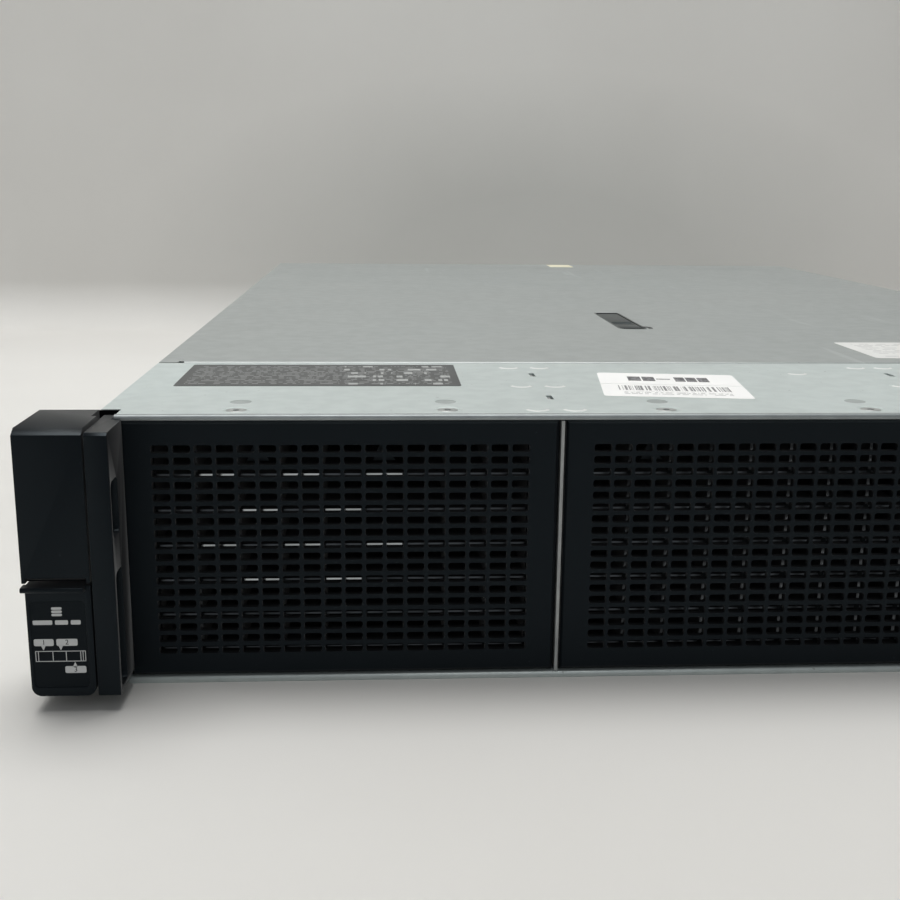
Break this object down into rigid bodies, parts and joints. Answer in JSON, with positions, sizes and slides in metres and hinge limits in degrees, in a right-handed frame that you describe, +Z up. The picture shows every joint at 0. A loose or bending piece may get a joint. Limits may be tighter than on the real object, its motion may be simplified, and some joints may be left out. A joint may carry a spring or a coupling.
{
  "type": "rack server",
  "caption": "Two-unit rack server: sheet metal chassis with grille blanks, drive cage, ears with pull levers, sliding lid, fans and hot-plug power supplies.",
  "frame": {"origin": "centre of the chassis base, on the surface it rests on", "axes": "+Z up, -Y out of the front, +X to the right seen from the front"},
  "size_m": [0.4826, 0.7362, 0.0873],
  "materials": {
    "galvanised_steel": "galvanised sheet, matt",
    "cover_steel": "galvanised sheet, matt, handled",
    "black_plastic": "moulded, fine texture",
    "carrier_plastic": "moulded, satin",
    "release_plastic": "moulded, satin",
    "board_laminate": "solder mask",
    "bare_aluminium": "extruded",
    "module_laminate": "solder mask with packages",
    "fan_plastic": "moulded, satin",
    "bright_steel": "plated",
    "button_plastic": "moulded, gloss",
    "lens_plastic": "clear light pipe"
  },
  "bodies": {
    "chassis": {"air_baffle": "black_plastic", "bay_walls": "galvanised_steel", "chassis_pan": "galvanised_steel", "drive_backplane": "board_laminate", "drive_blanks": "black_plastic", "drive_cage": "galvanised_steel", "fan_cage": "galvanised_steel", "fan_frames": "fan_plastic", "front_top": "galvanised_steel", "heatsinks": "bare_aluminium", "left_captive_screw": "bright_steel", "left_ear_base": "black_plastic", "left_ear_bracket": "galvanised_steel", "left_ear_cap": "black_plastic", "left_grille": "black_plastic", "left_grille_core": "black_plastic", "left_lever_pin": "bright_steel", "memory_modules": "module_laminate", "middle_grille": "black_plastic", "middle_grille_core": "black_plastic", "port_strip": "black_plastic", "rear_ports": "bright_steel", "rear_wall": "galvanised_steel", "right_captive_screw": "bright_steel", "right_ear_base": "black_plastic", "right_ear_bracket": "galvanised_steel", "right_ear_cap": "black_plastic", "right_lever_pin": "bright_steel", "riser_cages": "galvanised_steel", "slot_covers": "galvanised_steel", "status_lenses": "lens_plastic", "supply_cage": "galvanised_steel", "system_board": "board_laminate"},
    "left_lever": {"left_lever": "black_plastic"},
    "right_lever": {"right_lever": "black_plastic"},
    "power_button": {"power_button": "button_plastic"},
    "locator_button": {"locator_button": "button_plastic"},
    "serial_tab": {"serial_tab": "black_plastic"},
    "cover": {"access_panel": "cover_steel", "latch_cup": "black_plastic"},
    "latch": {"latch_handle": "black_plastic"},
    "fan_1": {"fan_1_rotor": "fan_plastic"},
    "fan_2": {"fan_2_rotor": "fan_plastic"},
    "fan_3": {"fan_3_rotor": "fan_plastic"},
    "fan_4": {"fan_4_rotor": "fan_plastic"},
    "fan_5": {"fan_5_rotor": "fan_plastic"},
    "fan_6": {"fan_6_rotor": "fan_plastic"},
    "drive_1": {"drive_1": "carrier_plastic"},
    "ejector_1": {"drive_1_ejector": "carrier_plastic"},
    "drive_release_1": {"drive_1_release": "release_plastic"},
    "supply_1": {"supply_1": "galvanised_steel"},
    "supply_release_1": {"supply_1_release": "release_plastic"},
    "supply_fan_1": {"supply_1_rotor": "fan_plastic"},
    "drive_2": {"drive_2": "carrier_plastic"},
    "ejector_2": {"drive_2_ejector": "carrier_plastic"},
    "drive_release_2": {"drive_2_release": "release_plastic"},
    "supply_2": {"supply_2": "galvanised_steel"},
    "supply_release_2": {"supply_2_release": "release_plastic"},
    "supply_fan_2": {"supply_2_rotor": "fan_plastic"}
  },
  "joints": [
    {"name": "left_lever_hinge", "type": "hinge", "parent": "chassis", "child": "left_lever", "pos_m": [-0.23135, -0.3563, 0.0098], "axis": [1, 0, 0], "range_deg": [0, 75], "stiffness_Nm_per_rad": 0.02, "springref_deg": -34.38},
    {"name": "right_lever_hinge", "type": "hinge", "parent": "chassis", "child": "right_lever", "pos_m": [0.23135, -0.3563, 0.0098], "axis": [1, 0, 0], "range_deg": [0, 75], "stiffness_Nm_per_rad": 0.02, "springref_deg": -34.38},
    {"name": "power_press", "type": "slide", "parent": "chassis", "child": "power_button", "axis": [0, 1, 0], "range_m": [0, 0.001], "stiffness_N_per_m": 500},
    {"name": "locator_press", "type": "slide", "parent": "chassis", "child": "locator_button", "axis": [0, 1, 0], "range_m": [0, 0.001], "stiffness_N_per_m": 500},
    {"name": "serial_tab_pull", "type": "slide", "parent": "chassis", "child": "serial_tab", "axis": [0, -1, 0], "range_m": [0, 0.045]},
    {"name": "cover_slide", "type": "slide", "parent": "chassis", "child": "cover", "axis": [0, 1, 0], "range_m": [0, 0.012]},
    {"name": "latch_lift", "type": "hinge", "parent": "cover", "child": "latch", "pos_m": [-0.0095, -0.0541, 0.084], "axis": [-1, 0, 0], "range_deg": [0, 80]},
    {"name": "fan_1_spin", "type": "hinge", "parent": "chassis", "child": "fan_1", "pos_m": [-0.18458, -0.1545, 0.0324], "axis": [0, 1, 0], "continuous": true},
    {"name": "fan_2_spin", "type": "hinge", "parent": "chassis", "child": "fan_2", "pos_m": [-0.11075, -0.1545, 0.0324], "axis": [0, 1, 0], "continuous": true},
    {"name": "fan_3_spin", "type": "hinge", "parent": "chassis", "child": "fan_3", "pos_m": [-0.03692, -0.1545, 0.0324], "axis": [0, 1, 0], "continuous": true},
    {"name": "fan_4_spin", "type": "hinge", "parent": "chassis", "child": "fan_4", "pos_m": [0.03692, -0.1545, 0.0324], "axis": [0, 1, 0], "continuous": true},
    {"name": "fan_5_spin", "type": "hinge", "parent": "chassis", "child": "fan_5", "pos_m": [0.11075, -0.1545, 0.0324], "axis": [0, 1, 0], "continuous": true},
    {"name": "fan_6_spin", "type": "hinge", "parent": "chassis", "child": "fan_6", "pos_m": [0.18458, -0.1545, 0.0324], "axis": [0, 1, 0], "continuous": true},
    {"name": "drive_1_slide", "type": "slide", "parent": "chassis", "child": "drive_1", "axis": [0, -1, 0], "range_m": [0, 0.1]},
    {"name": "ejector_1_hinge", "type": "hinge", "parent": "drive_1", "child": "ejector_1", "pos_m": [0.06808, -0.34225, 0.00865], "axis": [1, 0, 0], "range_deg": [0, 65]},
    {"name": "drive_release_1_press", "type": "slide", "parent": "drive_1", "child": "drive_release_1", "axis": [0, 1, 0], "range_m": [0, 0.0015], "stiffness_N_per_m": 300},
    {"name": "drive_2_slide", "type": "slide", "parent": "chassis", "child": "drive_2", "axis": [0, -1, 0], "range_m": [0, 0.1]},
    {"name": "ejector_2_hinge", "type": "hinge", "parent": "drive_2", "child": "ejector_2", "pos_m": [0.08494, -0.34225, 0.00865], "axis": [1, 0, 0], "range_deg": [0, 65]},
    {"name": "drive_release_2_press", "type": "slide", "parent": "drive_2", "child": "drive_release_2", "axis": [0, 1, 0], "range_m": [0, 0.0015], "stiffness_N_per_m": 300},
    {"name": "supply_1_slide", "type": "slide", "parent": "chassis", "child": "supply_1", "axis": [0, 1, 0], "range_m": [0, 0.16]},
    {"name": "supply_release_1_hinge", "type": "hinge", "parent": "supply_1", "child": "supply_release_1", "pos_m": [-0.2154, 0.3456, 0.0227], "axis": [0, 0, -1], "range_deg": [0, 12], "stiffness_Nm_per_rad": 0.05},
    {"name": "supply_fan_1_spin", "type": "hinge", "parent": "supply_1", "child": "supply_fan_1", "pos_m": [-0.1664, 0.3355, 0.0227], "axis": [0, 1, 0], "continuous": true},
    {"name": "supply_2_slide", "type": "slide", "parent": "chassis", "child": "supply_2", "axis": [0, 1, 0], "range_m": [0, 0.16]},
    {"name": "supply_release_2_hinge", "type": "hinge", "parent": "supply_2", "child": "supply_release_2", "pos_m": [-0.2154, 0.3456, 0.0645], "axis": [0, 0, -1], "range_deg": [0, 12], "stiffness_Nm_per_rad": 0.05},
    {"name": "supply_fan_2_spin", "type": "hinge", "parent": "supply_2", "child": "supply_fan_2", "pos_m": [-0.1664, 0.3355, 0.0645], "axis": [0, 1, 0], "continuous": true}
  ],
  "couplings": [
    {"joint": "latch_lift", "follows": "cover_slide", "rad_per_m": 116.36}
  ]
}
